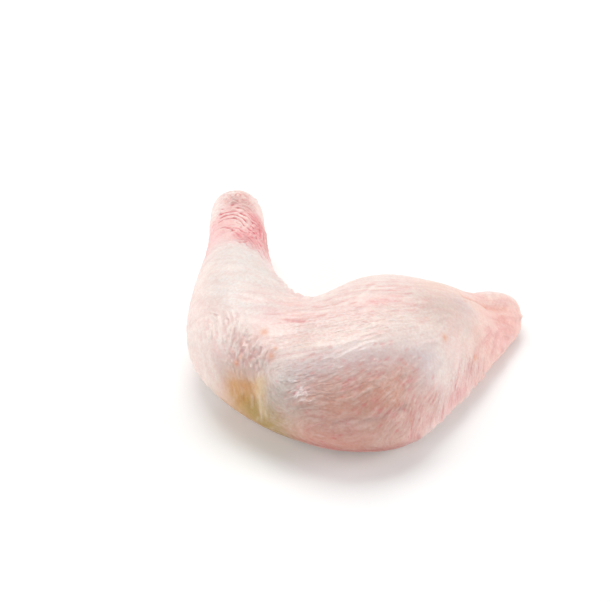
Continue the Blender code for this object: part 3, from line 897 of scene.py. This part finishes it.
def wet_cartilage():
    """Joint cartilage, freshly cut free: smooth, wet and bluish white, pink where blood shows through."""
    made, shader, add, link = new_finish("joint cartilage, wet")
    place = add("ShaderNodeTexCoord", output="Object")
    cloud = add("ShaderNodeTexNoise", Vector=place, Scale=1 / (6.0 * MM), Detail=4.0)
    tone = add("ShaderNodeMix", {"data_type": "RGBA"}, 2,
               _0=cloud, _6=(*colour(CARTILAGE_BLUE), 1.0), _7=(*colour(CARTILAGE_WHITE), 1.0))
    blood = add("ShaderNodeTexNoise", Vector=place, Scale=1 / (4.0 * MM), Detail=3.0)
    spots = add("ShaderNodeMapRange", _0=blood, _1=0.5, _2=0.7, _3=0.0, _4=0.75)
    stained = add("ShaderNodeMix", {"data_type": "RGBA"}, 2,
                  _0=spots, _6=tone, _7=(*colour(FLESH_PINK), 1.0))
    link(stained, shader.inputs["Base Color"])
    grain = add("ShaderNodeTexNoise", Vector=place, Scale=1 / (1.5 * MM), Detail=2.0)
    bump = add("ShaderNodeBump", Height=grain, Strength=0.3, Distance=0.2 * MM)
    link(bump, shader.inputs["Normal"])
    set_sockets(shader, IOR=1.4, Roughness=0.22, Coat_Weight=0.5, Coat_Roughness=0.08,
                Subsurface_Weight=0.3, Subsurface_Radius=(1.0, 0.6, 0.5), Subsurface_Scale=1.5 * MM)
    return made


def make_skin():
    """The leg's skin, from the solid's own form: its mesh is made fine, then forms, folds and creases are
    pressed in."""
    piece = welded_copy("leg_quarter", "leg_skin")
    mesh = piece.data
    remesh(piece, SKIN_FACET)
    smooth_mesh(mesh, SKIN_SMOOTHING)
    middles, facing = read_faces(mesh)
    seen = facing @ np.array(LOOKED_AT_FROM) > LEAST_FACING
    split_faces(piece, seen & (middles[:, 2] > SKIN_UNDERSIDE))
    middles, facing = read_faces(mesh)
    hock = (middles[:, 1] > HOCK_STARTS_AT) & (facing[:, 2] > 0)
    knee = distance_to_path(middles, KNEE_WRINKLES) < KNEE_WRINKLES_REACH
    split_faces(piece, hock | knee & (facing[:, 2] > KNEE_LEAST_FACING))
    middles = read_faces(mesh)[0]
    gap = np.min([distance_to_path(middles, crease.path) for crease in CREASES], axis=0)
    split_faces(piece, gap < CREASE_SURROUNDINGS)
    smooth_mesh(mesh, SPLIT_SKIN_SMOOTHING)

    rng = np.random.default_rng(7)
    skin = Skin(mesh)
    cut = hock_cut(skin.points)
    add_forms(skin)

    # Soft meat is uneven all over, and loose skin is finely combed along the lay.
    uneven = 0.5 * (noise(skin.points, 13.0, 1) - 0.5) + 0.3 * (noise(skin.points, 5.5, 2) - 0.5)
    skin.height += uneven
    add_lumps(skin, rng)
    wrinkling = add_puckers(skin)
    grain = combed(skin.points, skin.directions, 1.3, 4.0, 3)
    skin.height += 0.12 * (grain - 0.5)
    follicles = add_follicles(skin, rng)
    add_wrinkles(skin, rng)
    add_creases(skin)
    paint_hollow_shade_and_top_highlights(skin, read_edges(mesh))
    wet = np.max([bell(distance_to_path(skin.points, path), reach) for path, reach in WET_PLACES], axis=0)

    fibres = noise(skin.points, 1.3, 5) + noise(skin.points, 0.9, 6) - 1
    facing_out = smooth_step(skin.normals[:, 1], 0.5, 0.9)
    flesh = FLESH_FIBRES * fibres - FLESH_DEPTH + TENDON_HEIGHT * tendon_ends(skin.points) * facing_out
    skin.height = skin.height * (1 - cut) + cut * flesh

    # The relief is pressed nearly flat against the floor.
    skin.height *= 0.15 + 0.85 * smooth_step(skin.points[:, 2], 0.2, 2.5)
    moved = skin.points + skin.normals * skin.height[:, None]
    moved[:, 2] = np.maximum(moved[:, 2], 0)
    write_points(mesh, moved)

    tint = tint_skin(skin, follicles, cut, grain)
    store(mesh, "skin_tint", "FLOAT_COLOR", "color", np.column_stack([tint, np.ones(len(tint))]))
    store_lay(mesh, skin.directions)
    store(mesh, "wrinkling", "FLOAT", "value", wrinkling)
    store(mesh, "wetness", "FLOAT", "value", wet)
    finish_piece(piece, raw_skin(), "leg_quarter")


def make_knuckle():
    """The shin bone's two-knobbed knuckle, with the shallow dents of real cartilage."""
    piece = welded_copy("shin_bone", "knuckle")
    remesh(piece, KNUCKLE_FACET)
    mesh = piece.data
    smooth_mesh(mesh, KNUCKLE_SMOOTHING)
    points = read_points(mesh)
    dents = 0.3 * (noise(points, 5.0, 11) - 0.6) + 0.12 * (noise(points, 1.8, 12) - 0.6)
    end = smooth_step(points[:, 1], GROOVE_STARTS_AT, BONE_ENDS_AT)
    dents -= GROOVE_DEPTH * end * bell(points[:, 0] - BONE_MIDDLE[0], GROOVE_REACH)
    write_points(mesh, points + read_normals(mesh) * dents[:, None])
    finish_piece(piece, wet_cartilage(), "shin_bone")


def finish_piece(piece, finish, node):
    """Gives a piece its finish, shades it smooth, attaches it to the root body and hides the node that it
    replaces.
    """
    piece.data.materials.clear()
    piece.data.materials.append(finish)
    select_only(piece)
    bpy.ops.object.shade_smooth()
    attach(piece, "root")
    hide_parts(node)


def add_camera():
    camera = bpy.data.objects.new("camera", bpy.data.cameras.new("camera"))
    bpy.context.scene.collection.objects.link(camera)
    camera.location = Vector(CAMERA_AT) * MM
    camera.rotation_euler = (radians(CAMERA_TILT), 0, 0)
    camera.data.lens = CAMERA_LENS
    camera.data.sensor_width = 36
    bpy.context.scene.camera = camera


def add_soft_box(name, at, size, watts, tint):
    """A square light that faces the leg. Its place and size are in metres."""
    light = bpy.data.lights.new(name, "AREA")
    light.size = size
    light.energy = watts
    light.color = tint
    lamp = bpy.data.objects.new(name, light)
    bpy.context.scene.collection.objects.link(lamp)
    lamp.location = at
    lamp.rotation_euler = (-Vector(at)).to_track_quat("-Z", "Y").to_euler()


def add_studio():
    """A pale floor under an even white surround, with a large soft box above and behind the leg, one on each
    side of it and a small one in front for the wet glints."""
    scene = bpy.context.scene
    scene.view_settings.view_transform = "Standard"
    world = bpy.data.worlds.new("white surround")
    world.use_nodes = True
    backdrop = world.node_tree.nodes["Background"]
    set_sockets(backdrop, Color=(0.97, 0.985, 1, 1), Strength=0.41)
    scene.world = world
    add_soft_box("soft box", (-0.12, 0.5, 1.1), 0.75, 7.8, (1, 0.99, 0.97))
    add_soft_box("right box", (1.0, -0.15, 0.5), 0.6, 4.5, (1, 1, 1))
    add_soft_box("left box", (-1.0, 0.0, 0.5), 0.6, 2.8, (1, 1, 1))
    add_soft_box("glint box", (-0.6, -0.66, 0.5), 0.2, 1.0, (0.95, 0.98, 1))

    # The floor, in metres, lies just under the leg, so that the two don't share a plane.
    bpy.ops.mesh.primitive_plane_add(size=6, location=(0, 0, -0.0002))
    floor = bpy.context.object
    floor.name = "floor"
    paper = bpy.data.materials.new("white card")
    paper.use_nodes = True
    shader = paper.node_tree.nodes["Principled BSDF"]
    set_sockets(shader, Base_Color=(0.99, 0.995, 0.99, 1), Roughness=0.9)
    floor.data.materials.append(paper)


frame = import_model()
add_camera()
add_studio()
make_skin()
make_knuckle()
